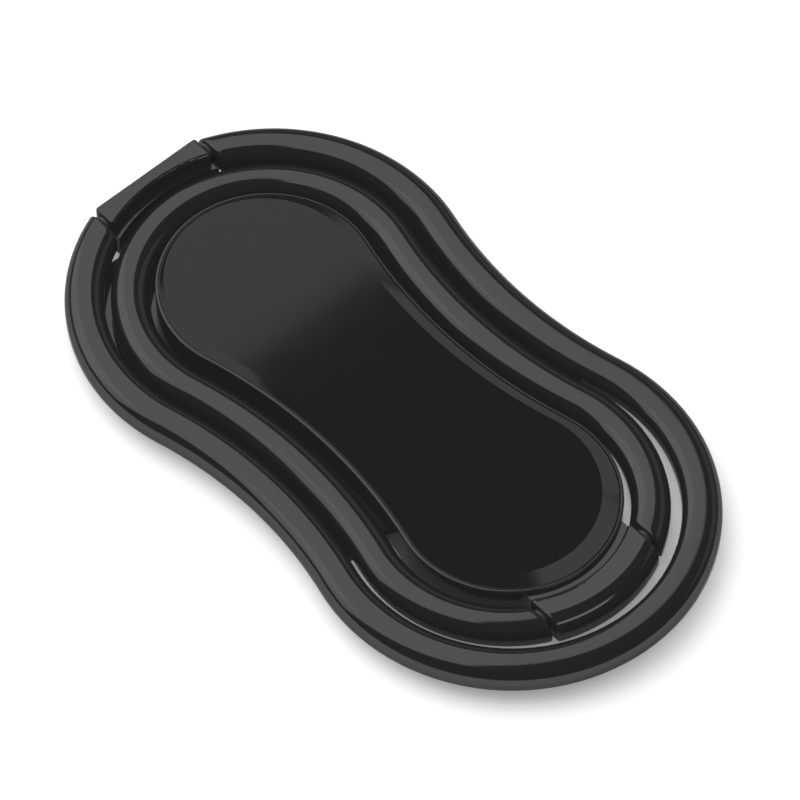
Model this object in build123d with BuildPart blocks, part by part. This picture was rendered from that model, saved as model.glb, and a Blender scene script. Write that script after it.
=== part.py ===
"""Folding double ring holder that sticks to the back of a phone.

A figure-eight base plate carries a glossy inlay and two hinge blocks.  Two open
rings follow the same figure-eight outline, one inside the other: the outer ring
folds on the block at the +Y end, the inner ring on the block at the -Y end.  The
origin is the centre of the outline on the adhesive face, and +Z leaves the phone.
"""

import math
import os

from build123d import *

# Driving dimensions, in millimetres
# Outside edge of the outer ring
lobe_radius = 18.0
lobe_spacing = 30.2
waist_width = 32.0

# Rings
ring_height = 2.5
crown_radius = 1.5
sole_radius = 0.7
end_radius = 0.25
outer_ring_width = 3.45
inner_ring_width = 3.4

# Gaps between one outline and the next one in: at the sides, at the +Y end, at the -Y end
ring_gap = (0.6, 0.55, 1.05)
plate_gap = (0.75, 0.3, 0.55)

# Base plate, dished inlay and adhesive pad
plate_rise = 0.05
plate_edge_radius = 0.18
rim_width = 0.25
inlay_thickness = 0.6
inlay_clearance = 0.05
inlay_edge = 0.06
inlay_lip = 0.12
dish_margin = 2.2
dish_depth = 0.13
film_thickness = 0.1
film_margin = 0.4
foot_thickness = 0.8
foot_clearance = 0.3
foot_margin = 1.6
foot_near_y = -9.0
pad_thickness = 0.5
pad_margin = 0.6

# Hinge blocks
block_length = 11.6
block_setback = 0.3
block_edge_radius = 0.3
block_gap = 0.7
block_step = 0.65
block_step_drop = 1.3
near_block_crown = 0.5
web_drop = 0.4

# Hinge pins and friction washers
outer_hinge_setback = 1.35
pin_diameter = 1.0
pin_seat = 1.4
pin_reach = 1.2
pin_end_room = 0.15
pin_clearance = 0.05
pin_chamfer = 0.1
washer_diameter = 2.0
washer_thickness = 0.3
washer_clearance = 0.05

# Heights that follow from them
base_bottom = pad_thickness
foot_top = base_bottom + foot_thickness
ring_bottom = foot_top + foot_clearance
ring_top = ring_bottom + ring_height
plate_top = ring_top + plate_rise
inlay_bottom = plate_top - inlay_thickness
film_bottom = inlay_bottom - film_thickness
hinge_z = ring_bottom + ring_height / 2


def nested(outline, gaps):
    """Outline inside another one, as (lobe radius, far centre, near centre, half waist)."""
    radius, far_y, near_y, half_waist = outline
    side, far, near = gaps
    return (radius - side, far_y + side - far, near_y - side + near, half_waist - side)


def inset(outline, distance):
    """Outline moved in by the same distance all round."""
    return nested(outline, (distance, distance, distance))


# Outlines from the outside in
outer_outside = (lobe_radius, lobe_spacing / 2, -lobe_spacing / 2, waist_width / 2)
outer_inside = inset(outer_outside, outer_ring_width)
inner_outside = nested(outer_inside, ring_gap)
inner_inside = inset(inner_outside, inner_ring_width)
plate_outline = nested(inner_inside, plate_gap)
recess_outline = inset(plate_outline, rim_width)
inlay_outline = inset(recess_outline, inlay_clearance)

# Hinge lines
block_half = block_length / 2
ring_end = block_half + washer_thickness + 2 * washer_clearance
far_y = lobe_spacing / 2
near_y = inner_outside[2]
block_edge_y = far_y + math.sqrt(lobe_radius**2 - block_half**2) - block_setback
outer_hinge_y = block_edge_y - outer_hinge_setback
inner_hinge_y = near_y - math.sqrt((inner_outside[0] - inner_ring_width / 2) ** 2 - ring_end**2)


def lobed_face(outline):
    """Figure-eight face: two equal lobes joined by hollow sides that meet them smoothly."""
    radius, far, near, half_waist = outline
    half = (far - near) / 2
    middle = (far + near) / 2
    hollow = (half**2 + half_waist**2 - radius**2) / (2 * (radius - half_waist))
    hollow_x = half_waist + hollow
    tilt = math.degrees(math.atan2(half, hollow_x))
    with BuildSketch() as face:
        with BuildLine():
            CenterArc((0, far), radius, -tilt, 180 + 2 * tilt)
            CenterArc((-hollow_x, middle), hollow, -tilt, 2 * tilt)
            CenterArc((0, near), radius, 180 - tilt, 180 + 2 * tilt)
            CenterArc((hollow_x, middle), hollow, 180 - tilt, 2 * tilt)
        make_face()
    return face.sketch


def foot_face(margin):
    """Face of the foot under the far lobe and the waist, moved in by a margin."""
    with BuildSketch() as face:
        add(lobed_face(inset(outer_outside, foot_margin + margin)))
        with Locations((0, foot_near_y + margin)):
            length = outer_hinge_y - ring_height - foot_near_y - 2 * margin
            Rectangle(2 * lobe_radius, length, align=(Align.CENTER, Align.MIN), mode=Mode.INTERSECT)
    return face.sketch


def hinge_line(hinge_y):
    """Sketch plane across a hinge, with its origin on the hinge axis and +X as its normal."""
    return Plane(origin=(0, hinge_y, hinge_z), z_dir=(1, 0, 0))


def open_ring(outside, inside, hinge_y):
    """Ring between two outlines, rounded over, open at its hinge and bored for the pins."""
    with BuildPart() as ring:
        with BuildSketch(Plane.XY.offset(ring_bottom)):
            add(lobed_face(outside))
            add(lobed_face(inside), mode=Mode.SUBTRACT)
        extrude(amount=ring_height)
        fillet(edges().group_by(Axis.Z)[-1], radius=crown_radius)
        fillet(edges().group_by(Axis.Z)[0], radius=sole_radius)
        with Locations((0, hinge_y, hinge_z)):
            Box(2 * ring_end, 2 * lobe_radius, 2 * ring_height, mode=Mode.SUBTRACT)
        fillet(faces().filter_by(Axis.X).edges(), radius=end_radius)
        with BuildSketch(hinge_line(hinge_y)):
            Circle(pin_diameter / 2 + pin_clearance)
        extrude(amount=ring_end + pin_reach + pin_end_room, both=True, mode=Mode.SUBTRACT)
    return ring.part


def far_block():
    """Hinge block of the outer ring: straight outside, hollow and stepped towards the inner ring."""
    wall = inner_outside[0] + block_gap + inner_outside[1] - far_y
    with BuildPart() as block:
        with BuildSketch(Plane.XY.offset(base_bottom)):
            with Locations((0, block_edge_y)):
                Rectangle(block_length, lobe_radius, align=(Align.CENTER, Align.MAX))
            with Locations((0, far_y)):
                Circle(wall + block_step, mode=Mode.SUBTRACT)
        extrude(amount=ring_top - base_bottom)
        fillet(edges().filter_by(Axis.Z), radius=block_edge_radius)
        fillet(edges().group_by(Axis.Z)[-1], radius=block_edge_radius)
        with BuildSketch(Plane.XY.offset(base_bottom)):
            with Locations((0, block_edge_y - block_edge_radius)):
                Rectangle(block_length, lobe_radius, align=(Align.CENTER, Align.MAX))
            with Locations((0, far_y)):
                Circle(wall, mode=Mode.SUBTRACT)
        extrude(amount=ring_top - block_step_drop - base_bottom)
    return block.part


def near_block():
    """Hinge block of the inner ring: a short, curved length of rounded bar."""
    with BuildPart() as block:
        with BuildSketch(Plane.XY.offset(ring_bottom)):
            with Locations((0, near_y)):
                Circle(inner_outside[0])
                Circle(inner_inside[0], mode=Mode.SUBTRACT)
        extrude(amount=ring_height)
        rims = edges().group_by(Axis.Z)[-1].sort_by(SortBy.LENGTH)
        fillet(rims[-1], radius=crown_radius)
        rims = edges().group_by(Axis.Z)[-1].sort_by(SortBy.LENGTH)
        fillet(rims[0], radius=near_block_crown)
        fillet(edges().group_by(Axis.Z)[0].sort_by(SortBy.LENGTH)[-1], radius=block_edge_radius)
        with Locations((0, near_y - lobe_radius, hinge_z)):
            Box(block_length, 2 * lobe_radius, 2 * ring_height, mode=Mode.INTERSECT)
        fillet(faces().filter_by(Axis.X).edges(), radius=end_radius)
    return block.part


os.makedirs("parts", exist_ok=True)

with BuildPart() as outer_ring:
    add(open_ring(outer_outside, outer_inside, outer_hinge_y))
outer_ring.part.label = "outer_ring"
export_step(outer_ring.part, "parts/outer_ring.step")

with BuildPart() as inner_ring:
    add(open_ring(inner_outside, inner_inside, inner_hinge_y))
inner_ring.part.label = "inner_ring"
export_step(inner_ring.part, "parts/inner_ring.step")

with BuildPart() as base_plate:
    # Raised plate, with its top edge rounded over and the recess for the inlay
    with BuildSketch(Plane.XY.offset(base_bottom)):
        add(lobed_face(plate_outline))
    extrude(amount=plate_top - base_bottom)
    fillet(edges().group_by(Axis.Z)[-1], radius=plate_edge_radius)
    with BuildSketch(Plane.XY.offset(film_bottom)):
        add(lobed_face(recess_outline))
    extrude(amount=plate_top - film_bottom, mode=Mode.SUBTRACT)
    # Foot under the far lobe and the waist, below both folded rings, with a tongue to the far block
    with BuildSketch(Plane.XY.offset(base_bottom)):
        add(foot_face(0))
        with Locations((0, far_y)):
            tongue_length = block_edge_y - far_y - block_edge_radius
            Rectangle(block_length, tongue_length, align=(Align.CENTER, Align.MIN))
    extrude(amount=foot_thickness)
    # Web that joins the near block to the plate
    with BuildSketch(Plane.XY.offset(base_bottom)):
        with Locations((0, near_y)):
            Rectangle(block_length - 2 * end_radius, lobe_radius, align=(Align.CENTER, Align.MAX))
            Circle(inner_outside[0] - inner_ring_width / 2, mode=Mode.INTERSECT)
        add(lobed_face(plate_outline), mode=Mode.SUBTRACT)
    extrude(amount=ring_top - web_drop - base_bottom)
    add(far_block())
    add(near_block())
    # Seats for the stub pins in the ends of both blocks
    for hinge_y in (outer_hinge_y, inner_hinge_y):
        for side in (-1, 1):
            with BuildSketch(hinge_line(hinge_y).offset(side * block_half)):
                Circle(pin_diameter / 2)
            extrude(amount=-side * pin_seat, mode=Mode.SUBTRACT)
base_plate.part.label = "base_plate"
export_step(base_plate.part, "parts/base_plate.step")

with BuildPart() as inlay_film:
    with BuildSketch(Plane.XY.offset(film_bottom)):
        add(lobed_face(inset(inlay_outline, film_margin)))
    extrude(amount=film_thickness)
inlay_film.part.label = "inlay_film"
export_step(inlay_film.part, "parts/inlay_film.step")

with BuildPart() as face_inlay:
    with BuildSketch(Plane.XY.offset(inlay_bottom)):
        add(lobed_face(inlay_outline))
    extrude(amount=inlay_thickness)
    fillet(edges().group_by(Axis.Z)[-1], radius=inlay_edge)
    # Shallow dish: the face falls gently from its lip to a flat middle
    with BuildSketch(Plane.XY.offset(plate_top)):
        add(lobed_face(inset(inlay_outline, inlay_lip)))
    with BuildSketch(Plane.XY.offset(plate_top - dish_depth)):
        add(lobed_face(inset(inlay_outline, dish_margin)))
    loft(mode=Mode.SUBTRACT)
face_inlay.part.label = "face_inlay"
export_step(face_inlay.part, "parts/face_inlay.step")

with BuildPart() as adhesive_pad:
    with BuildSketch():
        add(lobed_face(inset(plate_outline, pad_margin)))
        add(foot_face(pad_margin))
    extrude(amount=pad_thickness)
adhesive_pad.part.label = "adhesive_pad"
export_step(adhesive_pad.part, "parts/adhesive_pad.step")

# Stub pins and friction washers, one of each at either end of both blocks
for ring, hinge_y in (("outer", outer_hinge_y), ("inner", inner_hinge_y)):
    for name, side in (("left", -1), ("right", 1)):
        with BuildPart() as hinge_pin:
            with BuildSketch(hinge_line(hinge_y).offset(side * (block_half - pin_seat))):
                Circle(pin_diameter / 2)
            extrude(amount=side * (pin_seat + ring_end - block_half + pin_reach))
            chamfer(edges().filter_by(GeomType.CIRCLE), length=pin_chamfer)
        hinge_pin.part.label = f"{ring}_pin_{name}"
        export_step(hinge_pin.part, f"parts/{ring}_pin_{name}.step")

        with BuildPart() as friction_washer:
            with BuildSketch(hinge_line(hinge_y).offset(side * (block_half + washer_clearance))):
                Circle(washer_diameter / 2)
                Circle(pin_diameter / 2 + pin_clearance, mode=Mode.SUBTRACT)
            extrude(amount=side * washer_thickness)
        friction_washer.part.label = f"{ring}_washer_{name}"
        export_step(friction_washer.part, f"parts/{ring}_washer_{name}.step")
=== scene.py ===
"""Looks of a folding double ring holder that sticks to the back of a phone.

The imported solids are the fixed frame.  The two rings and the face, whose gloss shows
every facet, are made again here as fine meshes in the same place.  The other solids
stay and take their finishes.  Lengths are metres, +Z leaves the phone.
"""

import logging
import math
from dataclasses import dataclass
from enum import Enum

import bmesh
import bpy
import numpy as np
from mathutils import Matrix, Vector


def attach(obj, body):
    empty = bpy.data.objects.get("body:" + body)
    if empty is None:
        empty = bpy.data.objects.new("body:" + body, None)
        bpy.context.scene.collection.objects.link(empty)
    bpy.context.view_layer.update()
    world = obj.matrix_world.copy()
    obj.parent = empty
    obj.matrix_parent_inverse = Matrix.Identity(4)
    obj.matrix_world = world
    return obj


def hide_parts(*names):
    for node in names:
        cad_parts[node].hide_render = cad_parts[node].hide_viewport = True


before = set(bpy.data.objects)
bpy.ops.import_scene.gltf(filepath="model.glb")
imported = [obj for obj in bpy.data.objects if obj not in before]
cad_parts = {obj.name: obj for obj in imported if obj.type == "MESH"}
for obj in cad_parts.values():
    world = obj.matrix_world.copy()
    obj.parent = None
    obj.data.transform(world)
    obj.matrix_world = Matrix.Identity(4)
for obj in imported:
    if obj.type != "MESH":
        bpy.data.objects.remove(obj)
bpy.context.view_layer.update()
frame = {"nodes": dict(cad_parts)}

MM = 0.001
SHARP_ANGLE = math.radians(35)
WATTS_PER_RADIANCE = 4.0
SOFTBOX_FALL = (-0.303, 0.328, -0.895)
LOG = logging.getLogger("ring_holder")


class Reach(Enum):
    """Pieces that a lamp lights: all, the mirror-like face, all but the face, or the base."""

    ALL = "all"
    FACE = "face"
    REST = "rest"
    BASE = "base"


class HingeEnd(Enum):
    """End of the outline at which a ring is open for its hinge block."""

    FAR = 1
    NEAR = -1


@dataclass(frozen=True)
class Outline:
    """Figure-eight outline: two equal lobes joined by hollow sides that meet them smoothly.

    Attributes:
        radius: Radius of both lobes.
        far: Y of the centre of the +Y lobe.
        near: Y of the centre of the -Y lobe.
        half_waist: Half of the width between the hollow sides.
    """

    radius: float
    far: float
    near: float
    half_waist: float

    def inset(self, distance: float) -> "Outline":
        """Outline moved in by the same distance all round."""
        return Outline(self.radius - distance, self.far, self.near, self.half_waist - distance)

    def hollow(self) -> tuple[float, float, float, float]:
        """Arc of the hollow sides.

        Returns:
            Radius of a side arc, X and Y of its centre, and the angle of its half sweep.
        """
        half = (self.far - self.near) / 2
        gain = half**2 + self.half_waist**2 - self.radius**2
        radius = gain / (2 * (self.radius - self.half_waist))
        centre_x = self.half_waist + radius
        return radius, centre_x, (self.far + self.near) / 2, math.atan2(half, centre_x)

    def closed_path(self, lobe_steps: int, side_steps: int) -> np.ndarray:
        """Points once round the outline, counterclockwise from the end of the right side.

        Args:
            lobe_steps: Steps along each lobe.
            side_steps: Steps along each hollow side.

        Returns:
            Array of X, Y points, with the first one not repeated.
        """
        radius, centre_x, centre_y, tilt = self.hollow()
        turn = math.pi
        arcs = (
            (0.0, self.far, self.radius, -tilt, turn + tilt, lobe_steps),
            (-centre_x, centre_y, radius, tilt, -tilt, side_steps),
            (0.0, self.near, self.radius, turn - tilt, 2 * turn + tilt, lobe_steps),
            (centre_x, centre_y, radius, turn + tilt, turn - tilt, side_steps),
        )
        return np.vstack([arc_points(*arc)[:-1] for arc in arcs])

    def open_path(
        self, end: HingeEnd, half_gap: float, lobe_steps: int, side_steps: int
    ) -> np.ndarray:
        """Points along the outline from one side of a hinge gap round to the other.

        Args:
            end: End of the outline with the gap.
            half_gap: Distance from the middle plane to each side of the gap.
            lobe_steps: Steps along the whole lobe, and along each part of the open one.
            side_steps: Steps along each hollow side.

        Returns:
            Array of X, Y points.
        """
        if end is HingeEnd.NEAR:
            flipped = Outline(self.radius, -self.near, -self.far, self.half_waist)
            return -flipped.open_path(HingeEnd.FAR, half_gap, lobe_steps, side_steps)
        radius, centre_x, centre_y, tilt = self.hollow()
        open_angle = math.asin(half_gap / self.radius)
        turn = math.pi
        arcs = (
            (0.0, self.far, self.radius, turn / 2 + open_angle, turn + tilt, lobe_steps),
            (-centre_x, centre_y, radius, tilt, -tilt, side_steps),
            (0.0, self.near, self.radius, turn - tilt, 2 * turn + tilt, lobe_steps),
            (centre_x, centre_y, radius, turn + tilt, turn - tilt, side_steps),
            (0.0, self.far, self.radius, -tilt, turn / 2 - open_angle, lobe_steps),
        )
        parts = [arc_points(*arc)[:-1] for arc in arcs[:-1]]
        return np.vstack([*parts, arc_points(*arcs[-1])])


def arc_points(
    x: float, y: float, radius: float, start: float, stop: float, steps: int
) -> np.ndarray:
    """Points along an arc, both ends included.

    Args:
        x: X of the centre.
        y: Y of the centre.
        radius: Radius of the arc.
        start: Angle of the first point.
        stop: Angle of the last point.
        steps: Number of steps between them.

    Returns:
        Array of X, Y points.
    """
    angles = np.linspace(start, stop, steps + 1)
    return np.column_stack([x + radius * np.cos(angles), y + radius * np.sin(angles)])


@dataclass(frozen=True)
class Camera:
    """Camera of the photograph, found from the outlines of the part.

    Attributes:
        target: Point of the part that the view is measured from.
        distance: Distance from that point.
        elevation: Angle above the floor, in degrees.
        yaw: Turn of the view from +Y towards +X, in degrees.
        lens: Focal length in millimetres on the sensor.
        sensor: Sensor width in millimetres.
        shift: Lens shift across and up.
    """

    target: tuple[float, float, float] = (0.0, 0.0, 1.0 * MM)
    distance: float = 510.78 * MM
    elevation: float = 54.703
    yaw: float = 42.401
    lens: float = 267.7
    sensor: float = 36.0
    shift: tuple[float, float] = (0.0132, 0.0144)

    def build(self) -> bpy.types.Object:
        """Makes the camera and sets it as the scene's own.

        Returns:
            The camera object.
        """
        yaw, tilt = math.radians(self.yaw), math.radians(self.elevation)
        right = Vector((math.cos(yaw), -math.sin(yaw), 0.0))
        ahead = Vector((math.sin(yaw), math.cos(yaw), 0.0))
        above = Vector((0.0, 0.0, 1.0))
        up = ahead * math.sin(tilt) + above * math.cos(tilt)
        back = above * math.sin(tilt) - ahead * math.cos(tilt)
        data = bpy.data.cameras.new("camera")
        data.lens, data.sensor_width = self.lens, self.sensor
        data.shift_x, data.shift_y = self.shift
        camera = bpy.data.objects.new("camera", data)
        place = Matrix((right, up, back)).transposed().to_4x4()
        place.translation = Vector(self.target) + back * self.distance
        camera.matrix_world = place
        bpy.context.scene.collection.objects.link(camera)
        bpy.context.scene.camera = camera
        return camera


@dataclass(frozen=True)
class CeilingPanel:
    """Level light panel over the part, given by the slopes at which the part sees its edges.

    Attributes:
        name: Name of the lamp.
        across: Lowest and highest X per unit of height.
        along: Lowest and highest Y per unit of height.
        radiance: Brightness of its face.
        height: Height over the floor.
        mirrored: Whether gloss shows the panel.
        reach: Pieces that it lights.
    """

    name: str
    across: tuple[float, float]
    along: tuple[float, float]
    radiance: float
    height: float = 1.6
    mirrored: bool = True
    reach: Reach = Reach.ALL

    def build(self) -> bpy.types.Object:
        """Makes the lamp.

        Returns:
            The lamp object.
        """
        width = (self.across[1] - self.across[0]) * self.height
        depth = (self.along[1] - self.along[0]) * self.height
        data = bpy.data.lights.new(self.name, "AREA")
        data.shape, data.size, data.size_y = "RECTANGLE", width, depth
        data.energy = WATTS_PER_RADIANCE * self.radiance * width * depth
        lamp = bpy.data.objects.new(self.name, data)
        lamp.location = (
            sum(self.across) / 2 * self.height,
            sum(self.along) / 2 * self.height,
            self.height,
        )
        lamp.visible_camera = False
        lamp.visible_glossy = self.mirrored
        bpy.context.scene.collection.objects.link(lamp)
        return lamp


@dataclass(frozen=True)
class Softbox:
    """Leaning light panel, given by the upper edge that the part sees and the fall of its sides.

    Attributes:
        name: Name of the lamp.
        start: X and Y per unit of height of one end of the upper edge.
        stop: X and Y per unit of height of the other end.
        fall: Direction from the upper edge to the lower one.
        drop: Length of the sides per unit of distance.
        radiance: Brightness of its face.
        distance: Distance of its plane from the part.
        mirrored: Whether gloss shows the panel.
        reach: Pieces that it lights.
    """

    name: str
    start: tuple[float, float]
    stop: tuple[float, float]
    fall: tuple[float, float, float]
    drop: float
    radiance: float
    distance: float = 0.7
    mirrored: bool = True
    reach: Reach = Reach.REST

    def build(self) -> bpy.types.Object:
        """Makes the lamp.

        Returns:
            The lamp object.
        """
        first, second = Vector((*self.start, 1.0)), Vector((*self.stop, 1.0))
        fall = Vector(self.fall).normalized()
        level = Vector((second.x - first.x, second.y - first.y, 0.0)).normalized()
        normal = level.cross(fall).normalized()
        first *= self.distance / abs(normal.dot(first))
        second *= self.distance / abs(normal.dot(second))
        across = second - first
        width = across.length
        across.normalize()
        along = across.cross(normal).normalized()
        along *= math.copysign(1.0, along.dot(fall))
        depth = self.drop * self.distance
        centre = (first + second) / 2 + along * depth / 2
        facing = across.cross(along)
        facing *= math.copysign(1.0, facing.dot(centre))
        data = bpy.data.lights.new(self.name, "AREA")
        data.shape, data.size, data.size_y = "RECTANGLE", width, depth
        data.energy = WATTS_PER_RADIANCE * self.radiance * width * depth
        lamp = bpy.data.objects.new(self.name, data)
        side = along.cross(facing)
        place = Matrix((side, along, facing)).transposed().to_4x4()
        place.translation = centre
        lamp.matrix_world = place
        lamp.visible_camera = False
        lamp.visible_glossy = self.mirrored
        bpy.context.scene.collection.objects.link(lamp)
        return lamp


@dataclass(frozen=True)
class Studio:
    """White floor, pale surroundings and soft light panels.

    Attributes:
        floor_radius: Radius of the floor.
        floor_colour: Grey level of the floor.
        floor_roughness: Roughness of the floor.
        floor_lift: White that the floor adds where the camera or gloss sees it.
        dome: Brightness of the dim upper surroundings.
        horizon: Sine of the angle up to which the surroundings are white.
    """

    floor_radius: float = 6.0
    floor_colour: float = 0.92
    floor_roughness: float = 0.9
    floor_lift: float = 0.2
    dome: float = 0.05
    horizon: float = 0.06

    floor_steps = 96

    def lamps(self) -> tuple[CeilingPanel | Softbox, ...]:
        """Lists the lamps of the studio.

        Returns:
            The lamps, with those that gloss shows first.
        """
        return (
            Softbox("softbox", (-0.25, -0.08), (0.56, 0.42), SOFTBOX_FALL, 1.9, 1.1),
            Softbox("softbox_core", (-0.55, 0.42), (0.2, 0.75), SOFTBOX_FALL, 0.9, 0.3),
            CeilingPanel(
                "reflector", (1.2, 4.0), (-1.2, 2.4), 0.25, height=0.8, reach=Reach.REST
            ),
            CeilingPanel("face_main", (-2.6, 0.56), (0.552, 2.6), 0.6, reach=Reach.FACE),
            CeilingPanel("face_left", (-2.6, 0.41), (-0.15, 0.552), 0.6, reach=Reach.FACE),
            CeilingPanel(
                "block_strip", (-0.25, 0.6), (-1.5, -1.0), 2.0, height=0.8, reach=Reach.BASE
            ),
            CeilingPanel("fill", (-1.2, 1.2), (-1.2, 1.2), 0.8, mirrored=False),
        )

    def build(self, face: bpy.types.Object, base: bpy.types.Object) -> None:
        """Makes the floor, the surroundings and the lamps.

        Args:
            face: Mirror-like face, which some lamps keep to or leave out.
            base: Base plate, which one lamp keeps to.
        """
        self.floor()
        self.surroundings()
        groups = {}
        kinds = (
            (Reach.FACE, face, "INCLUDE"),
            (Reach.REST, face, "EXCLUDE"),
            (Reach.BASE, base, "INCLUDE"),
        )
        for reach, piece, state in kinds:
            groups[reach] = bpy.data.collections.new(f"lit_{reach.value}")
            groups[reach].objects.link(piece)
            groups[reach].collection_objects[0].light_linking.link_state = state
        for lamp in self.lamps():
            made = lamp.build()
            if lamp.reach in groups:
                made.light_linking.receiver_collection = groups[lamp.reach]

    def floor(self) -> bpy.types.Object:
        """Makes the floor disc with its white finish.

        Returns:
            The floor object.
        """
        mesh = bpy.data.meshes.new("floor")
        ring = arc_points(0.0, 0.0, self.floor_radius, 0.0, 2 * math.pi, self.floor_steps)[:-1]
        mesh.from_pydata([(x, y, 0.0) for x, y in ring], [], [list(range(len(ring)))])
        floor = bpy.data.objects.new("floor", mesh)
        material = bpy.data.materials.new("white_floor")
        material.use_nodes = True
        tree = material.node_tree
        shader = tree.nodes["Principled BSDF"]
        shader.inputs["Roughness"].default_value = self.floor_roughness
        shader.inputs["Specular IOR Level"].default_value = 0.0
        path = tree.nodes.new("ShaderNodeLightPath")
        seen = tree.nodes.new("ShaderNodeMath")
        seen.operation = "MAXIMUM"
        tree.links.new(path.outputs["Is Camera Ray"], seen.inputs[0])
        tree.links.new(path.outputs["Is Glossy Ray"], seen.inputs[1])
        through = tree.nodes.new("ShaderNodeMath")
        through.operation = "MAXIMUM"
        tree.links.new(seen.outputs[0], through.inputs[0])
        tree.links.new(path.outputs["Is Transmission Ray"], through.inputs[1])
        lift = tree.nodes.new("ShaderNodeMath")
        lift.operation = "MULTIPLY"
        tree.links.new(through.outputs[0], lift.inputs[0])
        lift.inputs[1].default_value = self.floor_lift
        shader.inputs["Base Color"].default_value = (*[self.floor_colour] * 3, 1.0)
        shader.inputs["Emission Color"].default_value = (1.0, 1.0, 1.0, 1.0)
        tree.links.new(lift.outputs[0], shader.inputs["Emission Strength"])
        mesh.materials.append(material)
        bpy.context.scene.collection.objects.link(floor)
        return floor

    def surroundings(self) -> bpy.types.World:
        """Makes the world: white for the camera and near the floor, dim above.

        Returns:
            The world.
        """
        world = bpy.data.worlds.new("surroundings")
        world.use_nodes = True
        tree = world.node_tree
        sky = tree.nodes["Background"]
        place = tree.nodes.new("ShaderNodeTexCoord")
        split = tree.nodes.new("ShaderNodeSeparateXYZ")
        tree.links.new(place.outputs["Generated"], split.inputs[0])
        rise = tree.nodes.new("ShaderNodeMapRange")
        rise.interpolation_type = "SMOOTHSTEP"
        rise.inputs["From Min"].default_value = 0.0
        rise.inputs["From Max"].default_value = self.horizon
        rise.inputs["To Min"].default_value = 1.0
        rise.inputs["To Max"].default_value = self.dome
        tree.links.new(split.outputs["Z"], rise.inputs["Value"])
        path = tree.nodes.new("ShaderNodeLightPath")
        level = tree.nodes.new("ShaderNodeMath")
        level.operation = "MAXIMUM"
        tree.links.new(rise.outputs["Result"], level.inputs[0])
        tree.links.new(path.outputs["Is Camera Ray"], level.inputs[1])
        sky.inputs["Color"].default_value = (1.0, 1.0, 1.0, 1.0)
        tree.links.new(level.outputs[0], sky.inputs["Strength"])
        bpy.context.scene.world = world
        return world


class GrainGroup:
    """Shader group for fine surface life: a mottled value and a grain height."""

    patch_detail = 4.0
    grain_detail = 2.0
    patch_range = (0.3, 0.7)
    inputs = (("Patch Scale", 400.0), ("Grain Scale", 6000.0), ("Low", 0.0), ("High", 1.0))

    def __init__(self) -> None:
        """Builds the group once."""
        self.tree = bpy.data.node_groups.new("surface_grain", "ShaderNodeTree")
        face = self.tree.interface
        for name, value in self.inputs:
            socket = face.new_socket(name, in_out="INPUT", socket_type="NodeSocketFloat")
            socket.default_value = value
        face.new_socket("Patches", in_out="OUTPUT", socket_type="NodeSocketFloat")
        face.new_socket("Grain", in_out="OUTPUT", socket_type="NodeSocketFloat")
        nodes, links = self.tree.nodes, self.tree.links
        entry, leave = nodes.new("NodeGroupInput"), nodes.new("NodeGroupOutput")
        place = nodes.new("ShaderNodeTexCoord")
        patches = nodes.new("ShaderNodeTexNoise")
        patches.inputs["Detail"].default_value = self.patch_detail
        grain = nodes.new("ShaderNodeTexNoise")
        grain.inputs["Detail"].default_value = self.grain_detail
        spread = nodes.new("ShaderNodeMapRange")
        spread.inputs["From Min"].default_value = self.patch_range[0]
        spread.inputs["From Max"].default_value = self.patch_range[1]
        for noise, scale in ((patches, "Patch Scale"), (grain, "Grain Scale")):
            links.new(place.outputs["Object"], noise.inputs["Vector"])
            links.new(entry.outputs[scale], noise.inputs["Scale"])
        links.new(patches.outputs["Fac"], spread.inputs["Value"])
        links.new(entry.outputs["Low"], spread.inputs["To Min"])
        links.new(entry.outputs["High"], spread.inputs["To Max"])
        links.new(spread.outputs["Result"], leave.inputs["Patches"])
        links.new(grain.outputs["Fac"], leave.inputs["Grain"])


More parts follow.
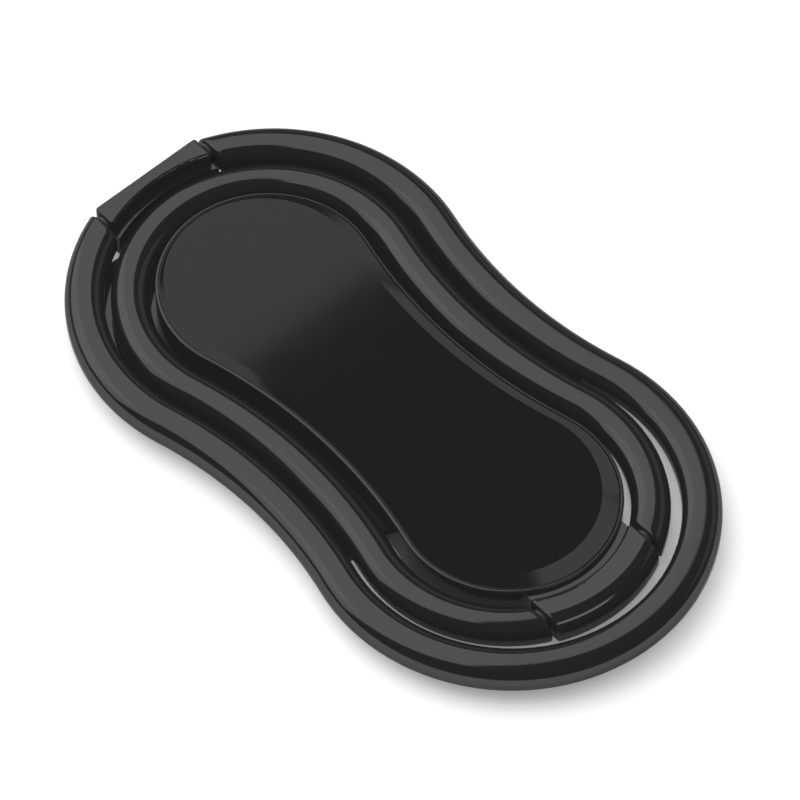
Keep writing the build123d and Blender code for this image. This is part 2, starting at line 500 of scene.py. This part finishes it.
@dataclass(frozen=True)
class Finish:
    """Finish of one kind of piece.

    Attributes:
        name: Name of the material.
        dark: Colour of the darker patches.
        light: Colour of the lighter patches.
        roughness: Lowest and highest roughness.
        metallic: Share of bare metal.
        edge_tint: Strength of the metal's gloss at grazing angles.
        lift: Painted glow: a faint even emission that stands in for the light in deep gaps, so that
            they stay charcoal.
        ior: Refractive index of the skin.
        patch_scale: Patches per metre.
        grain_scale: Grains per metre.
        grain_height: Height of the grain, in metres.
    """

    name: str
    dark: tuple[float, float, float]
    light: tuple[float, float, float]
    roughness: tuple[float, float]
    metallic: float = 0.0
    edge_tint: float = 1.0
    lift: float = 0.0
    ior: float = 1.5
    patch_scale: float = 400.0
    grain_scale: float = 6000.0
    grain_height: float = 0.0

    def build(self, grain: GrainGroup) -> bpy.types.Material:
        """Makes the material.

        Args:
            grain: Shared group for patches and grain.

        Returns:
            The material.
        """
        material = bpy.data.materials.new(self.name)
        material.use_nodes = True
        tree = material.node_tree
        shader = tree.nodes["Principled BSDF"]
        shader.inputs["Metallic"].default_value = self.metallic
        shader.inputs["IOR"].default_value = self.ior
        shader.inputs["Specular Tint"].default_value = (*[self.edge_tint] * 3, 1.0)
        # Painted glow: lift is an even emission that lights the piece's deep gaps to charcoal
        shader.inputs["Emission Color"].default_value = (*[self.lift] * 3, 1.0)
        shader.inputs["Emission Strength"].default_value = 1.0
        life = tree.nodes.new("ShaderNodeGroup")
        life.node_tree = grain.tree
        life.inputs["Patch Scale"].default_value = self.patch_scale
        life.inputs["Grain Scale"].default_value = self.grain_scale
        life.inputs["Low"].default_value, life.inputs["High"].default_value = self.roughness
        tree.links.new(life.outputs["Patches"], shader.inputs["Roughness"])
        tint = tree.nodes.new("ShaderNodeMix")
        tint.data_type = "RGBA"
        tint.inputs["A"].default_value = (*self.dark, 1.0)
        tint.inputs["B"].default_value = (*self.light, 1.0)
        tree.links.new(life.outputs["Grain"], tint.inputs["Factor"])
        tree.links.new(tint.outputs["Result"], shader.inputs["Base Color"])
        if self.grain_height:
            bump = tree.nodes.new("ShaderNodeBump")
            bump.inputs["Distance"].default_value = self.grain_height
            tree.links.new(life.outputs["Grain"], bump.inputs["Height"])
            tree.links.new(bump.outputs["Normal"], shader.inputs["Normal"])
        return material


@dataclass(frozen=True)
class OpenRing:
    """Folding ring: a rounded bar along the outline, open at its hinge.

    Attributes:
        node: CAD node that the mesh stands for, which also names its body.
        outline: Outside of the ring.
        width: Width of the bar.
        end: End of the outline with the hinge.
        hinge_y: Y of the hinge axis.
        half_gap: Distance from the middle plane to each end of the ring.
        bottom: Height of the underside.
        height: Height of the bar.
        crown: Radius of the upper edge on the outside and on the inside.
        sole: Radius of the two lower edges.
        end_radius: Radius round each end face.
        bore_radius: Radius of the pin bores.
        bore_depth: Depth of the pin bores.
    """

    node: str
    outline: Outline
    width: float
    end: HingeEnd
    hinge_y: float
    half_gap: float = 6.2 * MM
    bottom: float = 1.6 * MM
    height: float = 2.5 * MM
    crown: tuple[float, float] = (1.4 * MM, 1.2 * MM)
    sole: float = 0.7 * MM
    end_radius: float = 0.25 * MM
    bore_radius: float = 0.55 * MM
    bore_depth: float = 1.35 * MM

    crown_steps = 14
    sole_steps = 6
    flat_steps = 3
    end_steps = 5
    lobe_steps = 60
    side_steps = 40
    bore_steps = 32

    def section(self) -> tuple[np.ndarray, np.ndarray]:
        """Section of the bar, from its outside edge inwards and up from the underside.

        Returns:
            Points and the normals that point into the bar, once round.
        """
        quarter = math.pi / 2
        outside, inside = self.crown
        corners = (
            (outside, self.height - outside, outside, 2 * quarter, self.crown_steps),
            (self.width - inside, self.height - inside, inside, quarter, self.crown_steps),
            (self.width - self.sole, self.sole, self.sole, 0.0, self.sole_steps),
            (self.sole, self.sole, self.sole, -quarter, self.sole_steps),
        )
        points, normals = [], []
        for x, z, radius, start, steps in corners:
            arc = arc_points(x, z, radius, start, start - quarter, steps)
            points.append(arc)
            normals.append((np.array([x, z]) - arc) / radius)
        spots, inward = [], []
        for index, arc in enumerate(points):
            spots.append(arc)
            inward.append(normals[index])
            ahead = points[(index + 1) % len(points)][0]
            for step in range(1, self.flat_steps):
                share = step / self.flat_steps
                spots.append((arc[-1] * (1 - share) + ahead * share)[None])
                inward.append(normals[index][-1][None])
        return np.vstack(spots), np.vstack(inward)

    def loops(self) -> list[np.ndarray]:
        """Loops of points along the ring, from one end face to the other.

        Returns:
            One array of X, Y, Z points for each section.
        """
        spots, inward = self.section()
        full_gap = self.half_gap + self.end_radius
        count = 3 * self.lobe_steps + 2 * self.side_steps + 1
        strands = np.array([
            np.column_stack([
                self.outline.inset(distance).open_path(
                    self.end, full_gap, self.lobe_steps, self.side_steps
                ),
                np.full(count, self.bottom + z),
            ])
            for distance, z in spots
        ])
        body = [strands[:, index] for index in range(strands.shape[1])]
        centre_y = self.outline.far if self.end is HingeEnd.FAR else self.outline.near
        start_side = math.copysign(1.0, body[0][0, 0])
        rounded: dict[float, list[np.ndarray]] = {start_side: [], -start_side: []}
        for step in range(1, self.end_steps + 1):
            angle = step / self.end_steps * math.pi / 2
            drawn = spots + inward * self.end_radius * (1 - math.cos(angle))
            x = self.half_gap + self.end_radius * (1 - math.sin(angle))
            reach = np.sqrt((self.outline.radius - drawn[:, 0]) ** 2 - x**2)
            y = centre_y + self.end.value * reach
            for side, loops in rounded.items():
                loops.append(
                    np.column_stack([np.full(len(y), side * x), y, self.bottom + drawn[:, 1]])
                )
        return [*reversed(rounded[start_side]), *body, *rounded[-start_side]]

    def build(self) -> bpy.types.Object:
        """Makes the ring's mesh, which stands for its CAD node.

        Returns:
            The ring object.
        """
        loops = self.loops()
        made = bmesh.new()
        rows = [[made.verts.new(point) for point in loop] for loop in loops]
        count = len(rows[0])
        for row, ahead in zip(rows, rows[1:]):
            for index in range(count):
                beside = (index + 1) % count
                made.faces.new((row[index], row[beside], ahead[beside], ahead[index]))
        for row in (rows[0], rows[-1]):
            self.close_end(made, row)
        bmesh.ops.recalc_face_normals(made, faces=made.faces)
        ring = finish_mesh(made, f"{self.node}_swept")
        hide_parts(self.node)
        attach(ring, self.node)
        return ring

    def close_end(self, made: bmesh.types.BMesh, row: list[bmesh.types.BMVert]) -> None:
        """Closes one end with a face round the blind bore of the hinge pin.

        Args:
            made: Mesh under construction.
            row: Vertices round the end face.
        """
        x = row[0].co.x
        inside = x + math.copysign(self.bore_depth, x)
        axis_z = self.bottom + self.height / 2
        turn = 2 * math.pi
        circle = arc_points(self.hinge_y, axis_z, self.bore_radius, 0.0, turn, self.bore_steps)[:-1]
        mouth = [made.verts.new((x, y, z)) for y, z in circle]
        blind = [made.verts.new((inside, y, z)) for y, z in circle]
        edges = []
        for loop in (row, mouth):
            for vertex, ahead in zip(loop, [*loop[1:], loop[0]]):
                edges.append(made.edges.get((vertex, ahead)) or made.edges.new((vertex, ahead)))
        bmesh.ops.triangle_fill(made, use_beauty=True, use_dissolve=False, edges=edges)
        for index, vertex in enumerate(mouth):
            beside = (index + 1) % len(mouth)
            made.faces.new((vertex, mouth[beside], blind[beside], blind[index]))
        made.faces.new(blind)


def finish_mesh(made: bmesh.types.BMesh, name: str) -> bpy.types.Object:
    """Turns a mesh under construction into a smooth object in the scene.

    Args:
        made: Mesh under construction, which is freed.
        name: Name of the object.

    Returns:
        The object.
    """
    mesh = bpy.data.meshes.new(name)
    made.to_mesh(mesh)
    made.free()
    mesh.shade_smooth()
    mesh.set_sharp_from_angle(angle=SHARP_ANGLE)
    piece = bpy.data.objects.new(name, mesh)
    bpy.context.scene.collection.objects.link(piece)
    return piece


@dataclass(frozen=True)
class DishedFace:
    """Glossy face inlay: a fine lip, a shallow bevel of one slope and a flat middle.

    Attributes:
        outline: Outside of the inlay.
        bottom: Height of the underside.
        top: Height of the lip.
        edge: Radius of the upper edge.
        lip: Distance from the outside to the start of the bevel.
        bevel: Width of the bevel at the sides, at the far end and at the near end.
        slope: Fall of the bevel.
    """

    outline: Outline = Outline(9.5 * MM, 15.6 * MM, -14.85 * MM, 7.5 * MM)
    bottom: float = 3.55 * MM
    top: float = 4.15 * MM
    edge: float = 0.06 * MM
    lip: float = 0.12 * MM
    bevel: tuple[float, float, float] = (0.8 * MM, 0.1 * MM, 1.7 * MM)
    slope: float = 0.055

    edge_steps = 4
    bevel_steps = 6
    lobe_steps = 96
    side_steps = 48

    def rows(self) -> list[np.ndarray]:
        """Rows of points round the face, from the underside up and in to the flat middle.

        Returns:
            One array of X, Y, Z points for each row.
        """
        spots = [(0.0, self.bottom), (0.0, self.top - self.edge)]
        for step in range(1, self.edge_steps + 1):
            angle = step / self.edge_steps * math.pi / 2
            spots.append((
                self.edge * (1 - math.cos(angle)),
                self.top - self.edge * (1 - math.sin(angle)),
            ))
        rows = []
        for distance, z in spots:
            path = self.outline.inset(distance).closed_path(self.lobe_steps, self.side_steps)
            rows.append(np.column_stack([path, np.full(len(path), z)]))
        side, far, near = self.bevel
        start = self.outline.inset(self.lip)
        flat = Outline(
            start.radius - side,
            start.far + side - far,
            start.near - side + near,
            start.half_waist - side,
        )
        rim = start.closed_path(self.lobe_steps, self.side_steps)
        floor = flat.closed_path(self.lobe_steps, self.side_steps)
        ends = (flat.near - flat.radius, flat.far + flat.radius)
        depth = self.slope * np.interp(floor[:, 1], ends, (near, far))
        for step in range(self.bevel_steps + 1):
            share = step / self.bevel_steps
            path = rim + (floor - rim) * share
            rows.append(np.column_stack([path, self.top - depth * share]))
        return rows

    def build(self) -> bpy.types.Object:
        """Makes the inlay's mesh, which stands for its CAD node.

        Returns:
            The inlay object.
        """
        made = bmesh.new()
        rows = [[made.verts.new(point) for point in row] for row in self.rows()]
        count = len(rows[0])
        for row, ahead in zip(rows, rows[1:]):
            for index in range(count):
                beside = (index + 1) % count
                made.faces.new((row[index], row[beside], ahead[beside], ahead[index]))
        made.faces.new(rows[-1])
        made.faces.new(reversed(rows[0]))
        bmesh.ops.recalc_face_normals(made, faces=made.faces)
        face = finish_mesh(made, "face_inlay_dished")
        crisp = (len(rows) - 1 - self.bevel_steps, len(rows) - 1)
        for edge in face.data.edges:
            first, second = (vertex // count for vertex in edge.vertices)
            if first == second and first in crisp:
                edge.use_edge_sharp = True
        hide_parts("face_inlay")
        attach(face, "base")
        return face


@dataclass(frozen=True)
class Palette:
    """Finishes of the holder."""

    # The plating carries a painted glow (lift): an even emission that keeps its deep gaps charcoal
    plating: Finish = Finish(
        "black_plating", (0.044, 0.044, 0.045), (0.052, 0.052, 0.053), (0.07, 0.12),
        metallic=0.9, edge_tint=0.5, lift=0.010, grain_height=0.4e-6,
    )
    # The gloss carries a painted glow (lift): an even emission that keeps its deep gaps charcoal
    gloss: Finish = Finish(
        "black_gloss", (0.004, 0.004, 0.0042), (0.005, 0.005, 0.0052), (0.045, 0.055),
        lift=0.008, grain_height=0.1e-6,
    )
    foam: Finish = Finish(
        "adhesive_foam", (0.02, 0.02, 0.022), (0.05, 0.05, 0.052), (0.7, 0.9), grain_height=30e-6
    )
    steel: Finish = Finish(
        "pin_steel", (0.12, 0.12, 0.125), (0.18, 0.18, 0.185), (0.3, 0.45),
        metallic=1.0, grain_height=1e-6,
    )
    nylon: Finish = Finish(
        "washer_nylon", (0.02, 0.02, 0.021), (0.035, 0.035, 0.036), (0.45, 0.6), grain_height=2e-6
    )


def dress(piece: bpy.types.Object, material: bpy.types.Material) -> None:
    """Gives a piece one finish all over.

    Args:
        piece: Object to dress.
        material: Its finish.
    """
    piece.data.materials.clear()
    piece.data.materials.append(material)
    LOG.info("%s: %s, %d faces", piece.name, material.name, len(piece.data.polygons))


def main() -> None:
    """Builds the camera, the studio and the dressed holder."""
    logging.basicConfig(level=logging.INFO, format="%(name)s %(message)s")
    bpy.context.scene.view_settings.view_transform = "Standard"
    Camera().build()

    grain = GrainGroup()
    palette = Palette()
    plating = palette.plating.build(grain)
    gloss = palette.gloss.build(grain)
    foam = palette.foam.build(grain)
    steel = palette.steel.build(grain)
    nylon = palette.nylon.build(grain)

    outer = OpenRing(
        node="outer_ring",
        outline=Outline(18.0 * MM, 15.1 * MM, -15.1 * MM, 16.0 * MM),
        width=3.45 * MM,
        end=HingeEnd.FAR,
        hinge_y=30.48995 * MM,
    )
    inner = OpenRing(
        node="inner_ring",
        outline=Outline(13.95 * MM, 15.15 * MM, -14.65 * MM, 11.95 * MM),
        width=3.4 * MM,
        end=HingeEnd.NEAR,
        hinge_y=-25.215155 * MM,
        crown=(1.4 * MM, 1.5 * MM),
    )
    for ring in (outer, inner):
        dress(ring.build(), plating)
    face = DishedFace().build()
    dress(face, gloss)
    nodes = frame["nodes"]
    Studio().build(face, nodes["base_plate"])
    dress(nodes["base_plate"], plating)
    dress(nodes["inlay_film"], foam)
    dress(nodes["adhesive_pad"], foam)
    for name, node in nodes.items():
        if "_pin_" in name:
            dress(node, steel)
        if "_washer_" in name:
            dress(node, nylon)


if __name__ == "__main__":
    main()
